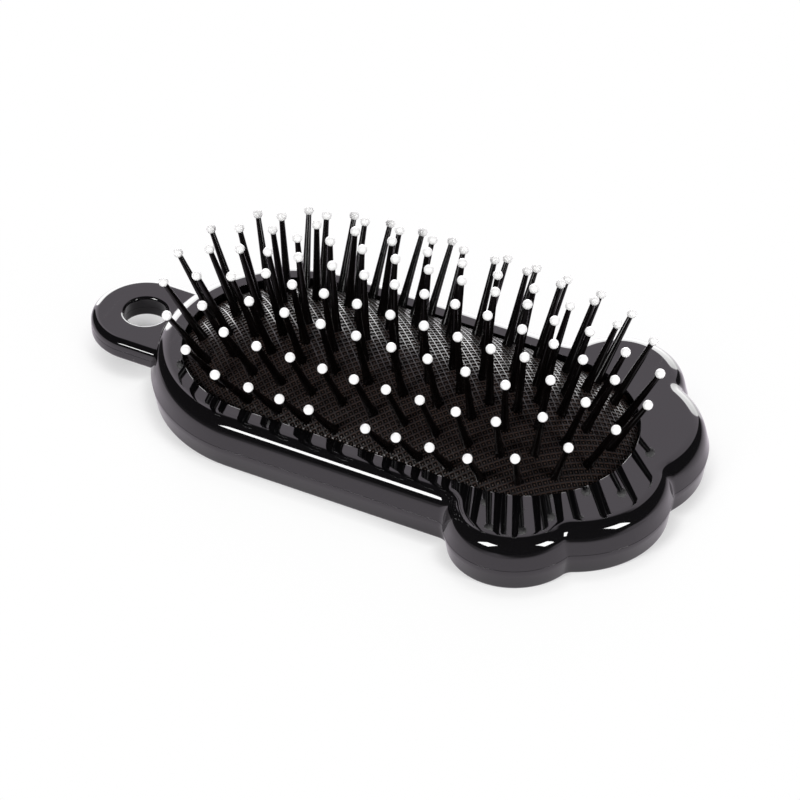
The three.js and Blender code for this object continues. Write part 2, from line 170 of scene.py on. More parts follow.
# %% Node helpers
def new_group(name, outputs, **inputs):
    """A node group with the named outputs and inputs, all of them numbers. Gives back its
    tree, its inputs and outputs as sockets to link, and the place on the object."""
    tree = bpy.data.node_groups.new(name, "ShaderNodeTree")
    for label, value in inputs.items():
        label = label.replace("_", " ")
        socket = tree.interface.new_socket(label, in_out="INPUT", socket_type="NodeSocketFloat")
        socket.default_value = value
    for label in outputs:
        tree.interface.new_socket(label, in_out="OUTPUT", socket_type="NodeSocketFloat")
    given = tree.nodes.new("NodeGroupInput").outputs
    result = tree.nodes.new("NodeGroupOutput").inputs
    place = add_node(tree, "ShaderNodeTexCoord").outputs["Object"]
    return tree, given, result, place


def add_node(tree, kind, links=(), **values):
    """Adds a node, sets its properties, and links (input, output) pairs into it."""
    node = tree.nodes.new(kind)
    for label, value in values.items():
        setattr(node, label, value)
    for target, source in links:
        if hasattr(source, "links"):
            tree.links.new(source, node.inputs[target])
        else:
            node.inputs[target].default_value = source
    return node


def feed(node, **sources):
    """Links sockets into a node's inputs, named with _ for a space."""
    for label, source in sources.items():
        node.id_data.links.new(source, node.inputs[label.replace("_", " ")])


def math_node(tree, operation, first, *others):
    """The output of a Math node. Each value is a number or a socket, and with more than two
    values one Math node follows another."""
    for other in others or (0.0,):
        node = add_node(tree, "ShaderNodeMath", [(0, first), (1, other)], operation=operation)
        first = node.outputs[0]
    return first


def spread(tree, value, low, high, new_low=0.0, new_high=1.0):
    """Maps a value from low to high onto new_low to new_high, held at both ends."""
    labels = ("Value", "From Min", "From Max", "To Min", "To Max")
    links = zip(labels, (value, low, high, new_low, new_high))
    return add_node(tree, "ShaderNodeMapRange", links, clamp=True).outputs["Result"]


def noise(tree, place, spacing, detail):
    """The value of a Noise texture at a place."""
    links = [("Vector", place), ("Scale", spacing), ("Detail", detail)]
    return add_node(tree, "ShaderNodeTexNoise", links).outputs["Fac"]


# %% Group: fine scuffs
# A noise drawn out along one axis gives long hairlines, here in three directions.
scuffs, given, result, place = new_group("Fine scuffs", ["Mask"], Spacing=900.0, Sharpness=0.5)
scuff_turns = (12, 71, 138)
scuff_tilt = (0.3, 0.2)
scuff_scale = (1, 0.035, 1)
masks = []
for turn_degrees in scuff_turns:
    turned_place = add_node(scuffs, "ShaderNodeMapping", [("Vector", place)])
    turned_place.inputs["Rotation"].default_value = (*scuff_tilt, np.radians(turn_degrees))
    turned_place.inputs["Scale"].default_value = scuff_scale
    hairlines = noise(scuffs, turned_place.outputs[0], given["Spacing"], 2.0)
    masks.append(spread(scuffs, hairlines, 0.66, 0.8))
lines = math_node(scuffs, "MAXIMUM", *masks)
scuffs.links.new(math_node(scuffs, "MULTIPLY", lines, given["Sharpness"]), result["Mask"])
print("made", scuffs.name)

# %% Group: dust specks
# Each cell of a Voronoi texture holds one dot, and its random colour says if the dot shows.
dust, given, result, place = new_group("Dust specks", ["Mask"], Spacing=900.0, Size=0.1, Share=0.1)
cells = add_node(dust, "ShaderNodeTexVoronoi", [("Vector", place), ("Scale", given["Spacing"])])
dot = math_node(dust, "LESS_THAN", cells.outputs["Distance"], given["Size"])
lot = add_node(dust, "ShaderNodeSeparateColor", [("Color", cells.outputs["Color"])])
chosen = math_node(dust, "LESS_THAN", lot.outputs[0], given["Share"])
dust.links.new(math_node(dust, "MULTIPLY", dot, chosen), result["Mask"])
print("made", dust.name)

# %% Group: moulded grain
# A broad noise with a share of a fine one gives the height, and the broad one the mask.
grain, given, result, place = new_group(
    "Moulded grain", ["Height", "Mask"], Spacing=400.0, Fineness=3000.0, Fine_share=0.3,
)
broad = noise(grain, place, given["Spacing"], 3.0)
fine = noise(grain, place, given["Fineness"], 2.0)
fine_part = math_node(grain, "MULTIPLY", fine, given["Fine share"])
grain.links.new(math_node(grain, "ADD", broad, fine_part), result["Height"])
grain.links.new(spread(grain, broad, 0.35, 0.65), result["Mask"])
print("made", grain.name)


# %% Finish helpers
def new_material(name, **values):
    """A material with a Principled BSDF whose plain sockets take the given values."""
    material = bpy.data.materials.new(name)
    material.use_nodes = True
    shader = material.node_tree.nodes["Principled BSDF"]
    for label, value in values.items():
        shader.inputs[label.replace("_", " ")].default_value = value
    return material, material.node_tree, shader


def place_group(tree, group, **values):
    """Places a node group in a material, with its own values."""
    node = add_node(tree, "ShaderNodeGroup", node_tree=group)
    for label, value in values.items():
        node.inputs[label.replace("_", " ")].default_value = value
    return node


def blend_colour(tree, mask, first, second):
    """The colour that a mask picks between first and second, each a colour or a socket. They
    go into inputs 6 and 7 of a Mix node, its pair of colours."""
    first, second = (end if hasattr(end, "links") else (*end, 1) for end in (first, second))
    links = [("Factor", mask), (6, first), (7, second)]
    return add_node(tree, "ShaderNodeMix", links, data_type="RGBA").outputs[2]


def add_bump(tree, shader, height, strength, distance):
    """Feeds a height through a Bump node to the shader's normal."""
    links = [("Strength", strength), ("Distance", distance), ("Height", height)]
    feed(shader, Normal=add_node(tree, "ShaderNodeBump", links).outputs["Normal"])


# %% [markdown]
# The shells are polished black plastic, the pad is dull rubber with shinier raised lines and
# bumps, the pins are smooth nylon and the balls are white enamel. A picture of each could be
# wrapped round the pieces, but patterns made of nodes stay sharp from near by and need no
# file. The base colours of the black pieces are almost zero, so that they show what they
# mirror, as gloss black does. The pad has a clear coat only where its lattice is raised: its
# lines and bumps glint, and its pits stay dull. Its colour adds a painted highlight on the
# lines and bumps and a painted shade in the pits.

# %% Gloss plastic of the two shells
gloss_black, tree, shader = new_material("gloss_black_shell", IOR=1.62)
marks = place_group(tree, scuffs, Spacing=420.0, Sharpness=1.0)
specks = place_group(tree, dust, Spacing=260.0, Size=0.035, Share=0.12)
flow = place_group(tree, grain, Spacing=60.0, Fineness=700.0, Fine_share=0.02)
shell_colour = (0.0022, 0.0021, 0.0024)
speck_colour = (0.16, 0.155, 0.15)
worn = spread(tree, marks.outputs["Mask"], 0.0, 1.0, 0.035, 0.12)
dusty = spread(tree, specks.outputs["Mask"], 0.0, 1.0, 0.0, 0.5)
feed(
    shader,
    Base_Color=blend_colour(tree, specks.outputs["Mask"], shell_colour, speck_colour),
    Roughness=math_node(tree, "ADD", worn, dusty),
)
add_bump(tree, shader, flow.outputs["Height"], 0.12, 0.02 * mm)
print("made", gloss_black.name)

# %% Rubber of the pad
pad_rubber, tree, shader = new_material(
    "pad_rubber", Specular_IOR_Level=0.18, Coat_Roughness=0.17, Coat_IOR=1.5,
)
flow = place_group(tree, grain, Spacing=350.0, Fineness=4500.0, Fine_share=0.8)
specks = place_group(tree, dust, Spacing=700.0, Size=0.12, Share=0.05)
raised_part = add_node(tree, "ShaderNodeAttribute", attribute_name="lattice_height").outputs["Fac"]
# Painted light in the colours: pale lines and warm bumps are a painted highlight, and the near-black pits
# a painted shade.
pit_painted_shade = (0.0011, 0.0008, 0.0008)
bump_painted_highlight = (0.042, 0.022, 0.015)
line_painted_highlight = (0.0125, 0.0100, 0.0105)
dust_colour = (0.10, 0.09, 0.085)
# polished picks the bumps' painted highlight colour as well as the coat, and on_line picks the lines'
# painted highlight colour.
polished = spread(tree, raised_part, 0.42, 0.64)
on_line = spread(tree, raised_part, 0.7, 0.95)
shade = blend_colour(tree, polished, pit_painted_shade, bump_painted_highlight)
shade = blend_colour(tree, on_line, shade, line_painted_highlight)
pit_roughness = spread(tree, polished, 0.0, 1.0, 0.5, 0.0)
rubbed = spread(tree, flow.outputs["Mask"], 0.0, 1.0, 0.44, 0.5)
cloudy = spread(tree, flow.outputs["Mask"], 0.0, 1.0, 0.4, 0.7)
feed(
    shader,
    Base_Color=blend_colour(tree, specks.outputs["Mask"], shade, dust_colour),
    Roughness=math_node(tree, "ADD", rubbed, pit_roughness),
    Coat_Weight=math_node(tree, "MULTIPLY", polished, cloudy),
)
add_bump(tree, shader, flow.outputs["Height"], 0.25, 0.02 * mm)
print("made", pad_rubber.name)

# %% Moulded plastic of the pins
pin_black, tree, shader = new_material("pin_black", Specular_IOR_Level=0.24)
flow = place_group(tree, grain, Spacing=300.0, Fineness=2500.0, Fine_share=0.3)
marks = place_group(tree, scuffs, Spacing=1500.0, Sharpness=1.0)
pin_colours = (0.0009, 0.0005, 0.0005), (0.0017, 0.0011, 0.0010)
feed(
    shader,
    Base_Color=blend_colour(tree, flow.outputs["Mask"], *pin_colours),
    Roughness=spread(tree, marks.outputs["Mask"], 0.0, 1.0, 0.15, 0.2),
)
add_bump(tree, shader, flow.outputs["Height"], 0.05, 0.01 * mm)
print("made", pin_black.name)

# %% White enamel of the ball tips
ball_white, tree, shader = new_material("ball_white", IOR=1.5)
flow = place_group(tree, grain, Spacing=500.0, Fineness=3500.0, Fine_share=0.2)
ball_colours = (0.88, 0.88, 0.87), (0.93, 0.93, 0.92)
feed(
    shader,
    Base_Color=blend_colour(tree, flow.outputs["Mask"], *ball_colours),
    Roughness=spread(tree, flow.outputs["Mask"], 0.0, 1.0, 0.22, 0.32),
)
add_bump(tree, shader, flow.outputs["Height"], 0.1, 0.02 * mm)
print("made", ball_white.name)

# %% Plain plastic of the pieces inside
inner_grey, tree, shader = new_material("inner_grey", IOR=1.48)
flow = place_group(tree, grain, Spacing=250.0, Fineness=1800.0, Fine_share=0.5)
grey_colours = (0.022, 0.022, 0.023), (0.034, 0.034, 0.035)
feed(
    shader,
    Base_Color=blend_colour(tree, flow.outputs["Mask"], *grey_colours),
    Roughness=spread(tree, flow.outputs["Mask"], 0.0, 1.0, 0.42, 0.58),
)
add_bump(tree, shader, flow.outputs["Height"], 0.3, 0.05 * mm)
print("made", inner_grey.name)

# %% [markdown]
# Seen from above, the body is a paw: a round rear end, two straight sides and four round
# toes, with small fillets in the notches between them. Each point of this outline belongs to
# a circle. A point is `centre + radius * direction`, and drawing the outline in by an inset
# shortens the radius of a toe and lengthens the radius of a notch, so the outline keeps its
# character at every inset, as an offset curve does. The whole family of insets then needs
# only one array of centres, one of radii and one of directions.

# %% Outline of the body
def bearing(start, end):
    """The angle at which one point sees another."""
    return np.arctan2(end[1] - start[1], end[0] - start[0])


def notch_centre(a, radius_a, b, radius_b, fillet):
    """Centre of the fillet between two circles: the point that lies radius + fillet from both
    centres, on the outer side of the line between them."""
    span = np.hypot(*(b - a))
    unit = (b - a) / span
    along = ((radius_a + fillet) ** 2 - (radius_b + fillet) ** 2 + span ** 2) / (2 * span)
    aside = np.sqrt((radius_a + fillet) ** 2 - along ** 2)
    return a + unit * along + np.array([unit[1], -unit[0]]) * aside


def arc(centre, radius, start, end, count, side=1):
    """Rows of (centre x, centre y, radius, angle, side) along an arc, the short way round and
    without its last point. side is 1 for a toe and -1 for a notch."""
    sweep = (end - start + np.pi) % (2 * np.pi) - np.pi
    angle = start + sweep * np.arange(count) / count
    row = np.ones(count)
    return np.stack([centre[0] * row, centre[1] * row, radius * row, angle, side * row], axis=1)


mirror = np.array([1, -1])
inner = inner_toe, inner_toe_radius
outer = outer_toe, outer_toe_radius
middle_notch = notch_centre(inner_toe * mirror, inner_toe_radius, *inner, toe_notch_radius)
side_notch = notch_centre(*inner, *outer, toe_notch_radius)
waist_y = body_half_width + waist_radius
waist_run = np.sqrt((outer_toe_radius + waist_radius) ** 2 - (waist_y - outer_toe[1]) ** 2)
waist = np.array([outer_toe[0] - waist_run, waist_y])
side_x = np.linspace(waist[0], 0, 26, endpoint=False)
row = np.ones_like(side_x)
straight_side = np.stack([side_x, 0 * row, body_half_width * row, np.pi / 2 * row, row], axis=1)
half = np.concatenate([
    arc(middle_notch, toe_notch_radius, np.pi, bearing(middle_notch, inner_toe), 4, -1),
    arc(*inner, bearing(inner_toe, middle_notch), bearing(inner_toe, side_notch), 44),
    arc(
        side_notch, toe_notch_radius,
        bearing(side_notch, inner_toe), bearing(side_notch, outer_toe), 12, -1,
    ),
    arc(*outer, bearing(outer_toe, side_notch), bearing(outer_toe, waist), 60),
    arc(waist, waist_radius, bearing(waist, outer_toe), -np.pi / 2, 10, -1),
    straight_side,
    arc((0, 0), body_half_width, np.pi / 2, np.pi, 60),
])
rear_end = np.array([[0, 0, body_half_width, np.pi, 1]])
other_half = half[:0:-1] * [1, -1, 1, -1, 1]
circles = np.concatenate([half, rear_end, other_half])
outline_direction = np.stack([np.cos(circles[:, 3]), np.sin(circles[:, 3])], axis=1)
print("outline of", len(circles), "points")


def body_outline(inset):
    """Points of the outline drawn in by inset: centre + (radius - side * inset) * direction."""
    reach = circles[:, 2] - circles[:, 4] * inset
    return circles[:, :2] + reach[:, None] * outline_direction


def lift(outline, height):
    """A ring of points: a flat outline at one height, or at one height for each point."""
    return np.concatenate([outline, np.broadcast_to(height, len(outline))[:, None]], axis=1)


def body_rings(section):
    """Rings round the body, one for each (inset, height) of a section."""
    return [lift(body_outline(inset), height) for inset, height in section]


# %% [markdown]
# The window for the pad is a stadium: every point at one distance from a straight segment on
# the brush's centre line. The deck runs from the body's outline to this window, so each
# outline point needs a partner on the stadium. The partner lies in the direction of the
# outline point from the nearest point of the segment, and the two never cross.

# %% Partners of the outline on the stadium
deck_edge = body_outline(rim_width)
spine = np.stack([np.clip(deck_edge[:, 0], 0, 2 * window_half_length), 0 * deck_edge[:, 0]], axis=1)
spoke = deck_edge - spine
spoke /= np.linalg.norm(spoke, axis=1, keepdims=True)


def window_loop(offset):
    """Points at one offset from the window's centre segment, one for each outline point."""
    return spine + offset * spoke


def quarter_round(steps, radius, top, up=1):
    """Points (inset, height) of a quarter circle from its flat top out to its upright side:
    the inset goes from the radius to 0, and the height falls from the top by the radius, or
    rises by it where up is -1."""
    angle = np.linspace(0, np.pi / 2, steps + 1)
    return np.stack([radius * (1 - np.sin(angle)), top - up * radius * (1 - np.cos(angle))], axis=1)


to_window = np.linalg.norm(deck_edge - spine, axis=1) - window_radius
print("deck", round(1000 * to_window.min(), 1), "to", round(1000 * to_window.max(), 1), "mm wide")


# %% [markdown]
# The front shell shows a flat deck with a soft rim that falls to the parting line. Light
# shows its section well: a narrow bright line runs along the rim, with a dark band under it
# before the wall turns pale. A true quarter round would end that band too soon, so the rim
# is a Bezier curve, round near the deck and slowly straightening towards the wall. The shell
# is one closed skin: down the outside, back up the inside past the tongue, and out under
# the deck to the window. Smooth shading blends the direction of a flat face into the round
# beside it, over the whole first row of faces. So each flat face of the gloss plastic gets
# one narrow row next to its round, and stays a flat mirror behind that row.

# %% Front shell
rim_foot = 7.73 * mm
rim_lean = np.radians(11.6)
rim_handle_deck = 2.46 * mm
rim_handle_wall = 2.2 * mm
seam_gap = 0.03 * mm
seam_round = 0.015 * mm
window_round = 0.1 * mm
narrow_row = 0.08 * mm
tongue_width = 0.9 * mm
tongue_length = 1.5 * mm
ledge_rise = 0.7 * mm
corner_filling = 0.92 * mm


def rim_section(steps):
    """Points (inset, height) of the rim from the wall up to the deck: a cubic Bezier curve
    whose ends run along the leaning wall and along the level deck."""
    foot = np.array([(rim_foot - parting_height) * np.tan(rim_lean), rim_foot])
    deck = np.array([rim_width, deck_height])
    above_foot = foot + rim_handle_wall * np.array([np.sin(rim_lean), np.cos(rim_lean)])
    beside_deck = deck - np.array([rim_handle_deck, 0])
    t = np.linspace(0, 1, steps + 1)[:, None]
    return ((1 - t) ** 3 * foot + 3 * t * (1 - t) ** 2 * above_foot
            + 3 * t ** 2 * (1 - t) * beside_deck + t ** 3 * deck)


def back_inset(height):
    """How far the back shell's wall stands in at a height, with its draft."""
    return back_draft * (parting_height - height) / (parting_height - back_edge_radius)


seam_top = parting_height + seam_gap
deck_underside = deck_height - deck_thickness
tongue_outside = wall_thickness + fit_clearance
tongue_inside = tongue_outside + tongue_width
tongue_bottom = parting_height - tongue_length
ledge_top = parting_height + ledge_rise
tongue_drop = back_inset(tongue_bottom)

rings = body_rings([
    *quarter_round(3, seam_round, seam_top + seam_round)[::-1],
    *rim_section(20),
    (rim_width + narrow_row, deck_height),
])
deck_run = window_loop(window_radius + window_round) - deck_edge
rings += [lift(deck_edge + share * deck_run, deck_height) for share in (0.3, 0.5, 0.7)]
rings += [lift(window_loop(window_radius + offset), height) for offset, height in [
    (window_round + narrow_row, deck_height),
    *quarter_round(4, window_round, deck_height),
    (0, deck_underside),
]]
rings += body_rings([
    (wall_thickness + corner_filling, deck_underside),
    (wall_thickness, ledge_top),
    (tongue_inside, ledge_top),
    (tongue_inside + tongue_drop, tongue_bottom),
    (tongue_outside + tongue_drop, tongue_bottom),
    (tongue_outside, seam_top),
])
front = make_piece(
    "front_shell_gloss", np.array(rings),
    grid_faces(len(rings), len(circles), close_rows=True),
    "handle", gloss_black,
)
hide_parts("front_shell")

# %% [markdown]
# The back shell is a tray: a floor, a wall with a little draft and a small round where it
# meets the table. Its skin starts in the middle of the floor inside, climbs the wall, turns
# over at the parting line and comes back under the floor. Both ends shrink onto the window's
# centre segment, where merging the doubles closes them.

# %% Back shell
seam_bottom = parting_height - seam_gap
floor_edge = wall_thickness + back_inset(floor_thickness)
wall_heights = np.linspace(seam_bottom - seam_round, back_edge_radius, 4)[1:]
rings = [lift(spine, floor_thickness), *body_rings([
    (floor_edge, floor_thickness),
    (wall_thickness, seam_bottom),
    *quarter_round(3, seam_round, seam_bottom),
    *((back_inset(height), height) for height in wall_heights),
    *(quarter_round(6, back_edge_radius, 0, up=-1)[-2::-1] + [back_draft, 0]),
    (back_draft + back_edge_radius + narrow_row, 0),
]), lift(spine, 0)]
back = make_piece(
    "back_shell_gloss", np.array(rings),
    grid_faces(len(rings), len(circles)),
    "handle", gloss_black,
)
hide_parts("back_shell")

# %% [markdown]
# The hanging ring is moulded half with the front shell and half with the back shell, so the
# parting line runs round it too. Each half is a skin that closes on itself both ways: round
# the ring, and from the outer edge over the face into the hole and back.

# %% Hanging ring
ring_centre = np.array([-body_half_width - ring_standoff, 0])
ring_root = wall_thickness / 2 - np.sqrt(body_half_width ** 2 - ring_radius ** 2)


def ring_outline(inset):
    """The ring seen from above: half a circle, then two straight edges that run into the
    body's wall, and the hidden end between them."""
    reach = ring_radius - inset
    angle = np.linspace(np.pi / 2, 3 * np.pi / 2, 49)
    round_end = ring_centre + reach * np.stack([np.cos(angle), np.sin(angle)], axis=1)
    edge_x = np.linspace(ring_centre[0], ring_root, 15)[1:]
    near_edge = np.stack([edge_x, -reach + 0 * edge_x], axis=1)
    end_y = np.linspace(-reach, reach, 13)[1:-1]
    hidden_end = np.stack([ring_root + 0 * end_y, end_y], axis=1)
    return np.concatenate([round_end, near_edge, hidden_end, near_edge[::-1] * mirror])


ring_spoke = ring_outline(0) - ring_centre
ring_spoke /= np.linalg.norm(ring_spoke, axis=1, keepdims=True)


def ring_half(name, seam, face, edge_round):
    """One half of the ring, between its seam and its face: seam edge, wall, edge round, face,
    mouth round and hole. A face below the seam works the same way, upside down."""
    up = np.sign(face - seam)
    rings = [lift(ring_outline(inset), height) for inset, height in [
        *quarter_round(3, seam_round, seam + up * seam_round, up)[::-1],
        *quarter_round(10, edge_round, face, up)[::-1],
        (edge_round + narrow_row, face),
    ]]
    rings += [lift(ring_centre + (bore_radius + inset) * ring_spoke, height) for inset, height in [
        (bore_round + narrow_row, face),
        *quarter_round(8, bore_round, face, up),
        (0, seam),
    ]]
    points = np.array(rings)
    return make_piece(
        name, points, grid_faces(len(rings), points.shape[1], close_rows=True),
        "handle", gloss_black,
    )


ring_top_face = parting_height + ring_height_above
ring_bottom_face = parting_height - ring_depth_below
ring_half("hanging_ring_upper", seam_top, ring_top_face, ring_top_round)
ring_half("hanging_ring_lower", seam_bottom, ring_bottom_face, ring_bottom_round)

# %% [markdown]
# The pad is one piece of black rubber. Across the brush it is an arch, and towards both ends
# it falls in a smooth power curve. Its face is covered with a fine lattice of raised lines
# that run at 45 degrees to the brush, about 1.2 mm apart. In each square lies a pit, and in
# the pit a small bump. A bump map would look flat at the pad's edge, so the lattice is real
# height. The grid is turned with the lattice and has six samples to a square, placed where
# the flat lines, the pits and the bumps begin and end. Squares outside the window are
# dropped. The height is also kept as an attribute, so that the colour can carry a painted
# highlight on the lines and on the bumps and a painted shade in the pits.

# %% Surface of the pad
lattice_pitch = 1.21 * mm
line_edge, pit_edge, bump_edge = 0.075, 0.15, 0.42
lattice_stops = np.array([line_edge, pit_edge, bump_edge, 1 - bump_edge, 1 - pit_edge, 1 - line_edge])
line_height = 0.4 * mm
bump_height = 0.24 * mm
lattice_sink = 0.2 * mm
lattice_fade = 0.2 * mm
underside_shares = (1, 0.85, 0.6, 0.3, 0)


def pad_height(x, y):
    """Crown minus the arch's fall, R - sqrt(R^2 - y^2), minus the fall to the ends, which
    grows with a power of the distance from the middle."""
    across = pad_arch_radius - np.sqrt(pad_arch_radius ** 2 - y ** 2)
    along = np.abs((x - window_half_length) / pad_end_reach) ** pad_end_power
    return pad_crown - across - pad_end_drop * along


def lattice_height(u, v):
    """Height of the lattice over the bottom of its pits, from the share of a pitch to the
    nearest line's middle: the line is level up to line_edge and falls straight to pit_edge,
    and from there the bump rises straight to its level top at bump_edge."""
    to_middle = np.minimum(*(np.abs(((way / lattice_pitch + 0.5) % 1) - 0.5) for way in (u, v)))
    on_line = np.clip((pit_edge - to_middle) / (pit_edge - line_edge), 0, 1)
    up_bump = np.clip((to_middle - pit_edge) / (bump_edge - pit_edge), 0, 1)
    return on_line * line_height + up_bump * bump_height


def to_stadium(points, offset):
    """Moves points of the plane to one offset from the window's centre segment."""
    centre = np.stack([np.clip(points[:, 0], 0, 2 * window_half_length), 0 * points[:, 0]], axis=1)
    away = points - centre
    return centre + offset * away / np.linalg.norm(away, axis=1, keepdims=True)


def boundary_loop(faces, count):
    """Points on the open edge of a grid of quads, in order round it. An edge that only one
    face uses leads from one such point to the next. The first 1, 2, 4 ... points of the loop
    lead to as many more with one jump, and the jump doubles each time."""
    edges = np.stack([faces, np.roll(faces, -1, axis=1)], axis=-1).reshape(-1, 2)
    edge_key = np.sort(edges, axis=1) @ np.array([count, 1])
    _, own_key, uses = np.unique(edge_key, return_inverse=True, return_counts=True)
    open_edge = edges[uses[own_key] == 1]
    open_edge = open_edge[np.argsort(open_edge[:, 0])]
    jump = np.searchsorted(open_edge[:, 0], open_edge[:, 1])
    order = np.zeros(1, dtype=int)
    while len(order) < len(open_edge):
        order = np.concatenate([order, jump[order]])
        jump = jump[jump]
    return open_edge[order[:len(open_edge)], 0]


print(f"pad falls {1000 * pad_side_drop:.1f} mm to its sides and {1000 * pad_end_drop:.1f} mm to its ends")

# %% Pad with its lattice, skirt and flange
across_reach = pad_arch_radius * np.arcsin(pad_reach / pad_arch_radius)
lattice_reach = int((pad_end_reach + across_reach) / np.sqrt(2) / lattice_pitch) + 1
squares = np.arange(-lattice_reach, lattice_reach)
lattice_way = ((squares[:, None] + lattice_stops) * lattice_pitch).ravel()
u, v = (way.ravel() for way in np.meshgrid(lattice_way, lattice_way))
along, across = (u + v) / np.sqrt(2), (v - u) / np.sqrt(2)
limit = 0.99 * np.pi / 2 * pad_arch_radius
plan_y = pad_arch_radius * np.sin(np.clip(across, -limit, limit) / pad_arch_radius)
plan = np.stack([window_half_length + along, plan_y], axis=1)
from_spine = plan - np.stack([np.clip(plan[:, 0], 0, 2 * window_half_length), 0 * plan[:, 0]], axis=1)
inside = (np.linalg.norm(from_spine, axis=1) < pad_reach) & (np.abs(across) < limit)
faces = grid_faces(len(lattice_way), len(lattice_way), close_columns=False)
faces = faces[inside[faces].all(axis=1)]

rim = boundary_loop(faces, len(plan))
plan[rim] = to_stadium(plan[rim], pad_reach)
edge_fade = np.clip((pad_reach - np.linalg.norm(from_spine, axis=1)) / lattice_fade, 0, 1)
edge_fade[rim] = 0
raised = lattice_height(u, v) * edge_fade
safe_y = np.clip(plan[:, 1], -pad_reach, pad_reach)
surface = lift(plan, pad_height(plan[:, 0], safe_y) + raised - lattice_sink)

loop = plan[rim]
skirt_inside = pad_reach - skirt_thickness
rings = [
    lift(loop, flange_top),
    lift(to_stadium(loop, flange_reach), flange_top),
    lift(to_stadium(loop, flange_reach), flange_bottom),
    lift(to_stadium(loop, skirt_inside), flange_bottom),
]
for share in underside_shares:
    under = to_stadium(loop, share * skirt_inside)
    rings.append(lift(under, pad_height(under[:, 0], under[:, 1]) - pad_thickness))
ring_points = np.concatenate(rings)
first = len(surface)
ring_quads = grid_faces(len(rings), len(rim), first=first)
own = np.arange(len(rim))
ahead = (own + 1) % len(rim)
joining = np.stack([rim[own], rim[ahead], first + ahead, first + own], axis=1)
pad_points = np.concatenate([surface, ring_points])
pad_faces = np.concatenate([faces, joining, ring_quads])
used, renumbered = np.unique(pad_faces, return_inverse=True)
pad = make_piece(
    "cushion_pad_rubber", pad_points[used], renumbered.reshape(pad_faces.shape),
    "handle", pad_rubber, sharp=35,
)
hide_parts("cushion_pad")

# %% Attribute with the lattice's height, from 0 in the pits to 1 on the lines
skirt_below = 0.5 * mm
corner = np.empty(3 * len(pad.data.vertices), dtype=np.float32)
pad.data.vertices.foreach_get("co", corner)
corner = corner.reshape(-1, 3).astype(float) - [rear_x, 0, 0]
corner_y = np.clip(corner[:, 1], -pad_reach, pad_reach)
bottom = pad_height(corner[:, 0], corner_y) - lattice_sink
share_up = np.clip((corner[:, 2] - bottom) / line_height, 0, 1)
# The skirt and the underside take the pits' near-black colour, a painted shade.
share_up[corner[:, 2] < bottom - skirt_below] = 0
height_mark = pad.data.attributes.new("lattice_height", "FLOAT", "POINT")
height_mark.data.foreach_set("value", share_up.astype(np.float32))
print("lattice lines on", int((share_up > 0.9).sum()), "corners")

# %% [markdown]
# Pins stand square on the pad. They lie on a centre row and on four long loops round it, and
# each loop is cut into four strips that are moulded in one piece with their pins. The same
# formula that placed the solids gives every pin its foot and its axis here.

# %% Places of the pins
pin_tip_height = 16.5 * mm
ball_radius = 1.05 * mm
shaft_end_depth = 0.6 * ball_radius
shaft_cap_depth = 0.4 * ball_radius
shaft_radius = 0.56 * mm
collar_radius = 1.15 * mm
collar_edge = 0.06 * mm
collar_height = 3.3 * mm
collar_top_radius = 0.86 * mm
collar_hollow = 0.02 * mm
neck_radius = 0.6 * mm
strip_width = 2.4 * mm
strip_thickness = 1 * mm
strip_drop = 0.45 * mm
centre_pin_count = 8
centre_pin_pitch = 6.84 * mm
pin_margin = 2.05 * mm
pin_bow = 0.14
pin_rings = [
    ("1", "first_ring_pins", 0.267, 3.15 * mm, 20, -1.66 * mm, False),
    ("2", "second_ring_pins", 0.496, 2.78 * mm, 22, -0.99 * mm, False),
    ("3", "third_ring_pins", 0.765, 2.95 * mm, 28, -0.15 * mm, False),
    ("4", "fourth_ring_pins", 1.0, 2.25 * mm, 32, 2.3 * mm, True),
]


def loop_point(half_length, radius, distance):
    """The point at a distance along a loop of two straight sides and two round ends, measured
    anticlockwise from the middle of its toe end. Each stretch is worked out for all points,
    and np.select keeps the stretch that each point lies on. Then the loop is drawn in towards
    the pad's ends: y shrinks by pin_bow times the square of x over the pad's reach."""
    quarter, side = radius * np.pi / 2, 2 * half_length
    whole = 4 * quarter + 2 * side
    along = distance % whole
    starts = np.cumsum([0, quarter, side, 2 * quarter, side])
    toe_angle = np.where(along < quarter, along, along - whole) / radius
    rear_angle = np.pi / 2 + (along - starts[2]) / radius
    on_stretch = [*(along < starts[1:, None]), along >= starts[4]]
    toe_x = half_length + radius * np.cos(toe_angle)
    toe_y = radius * np.sin(toe_angle)
    x = np.select(on_stretch, [
        toe_x, half_length - (along - starts[1]), radius * np.cos(rear_angle) - half_length,
        along - starts[3] - half_length, toe_x,
    ])
    y = np.select(on_stretch, [
        toe_y, radius + 0 * along, radius * np.sin(rear_angle), -radius + 0 * along, toe_y,
    ])
    drawn_in = 1 - pin_bow * (x / pad_end_reach) ** 2
    return np.stack([x + window_half_length, y * drawn_in], axis=1)


def pad_axis(feet):
    """Unit directions square on the pad: the gradient of pad_height, turned up."""
    run = (feet[:, 0] - window_half_length) / pad_end_reach
    steepness = np.sign(run) * np.abs(run) ** (pad_end_power - 1)
    slope_x = -pad_end_drop * pad_end_power * steepness / pad_end_reach
    slope_y = -feet[:, 1] / np.sqrt(pad_arch_radius ** 2 - feet[:, 1] ** 2)
    axis = np.stack([-slope_x, -slope_y, 1 + 0 * run], axis=1)
    return axis / np.linalg.norm(axis, axis=1, keepdims=True)


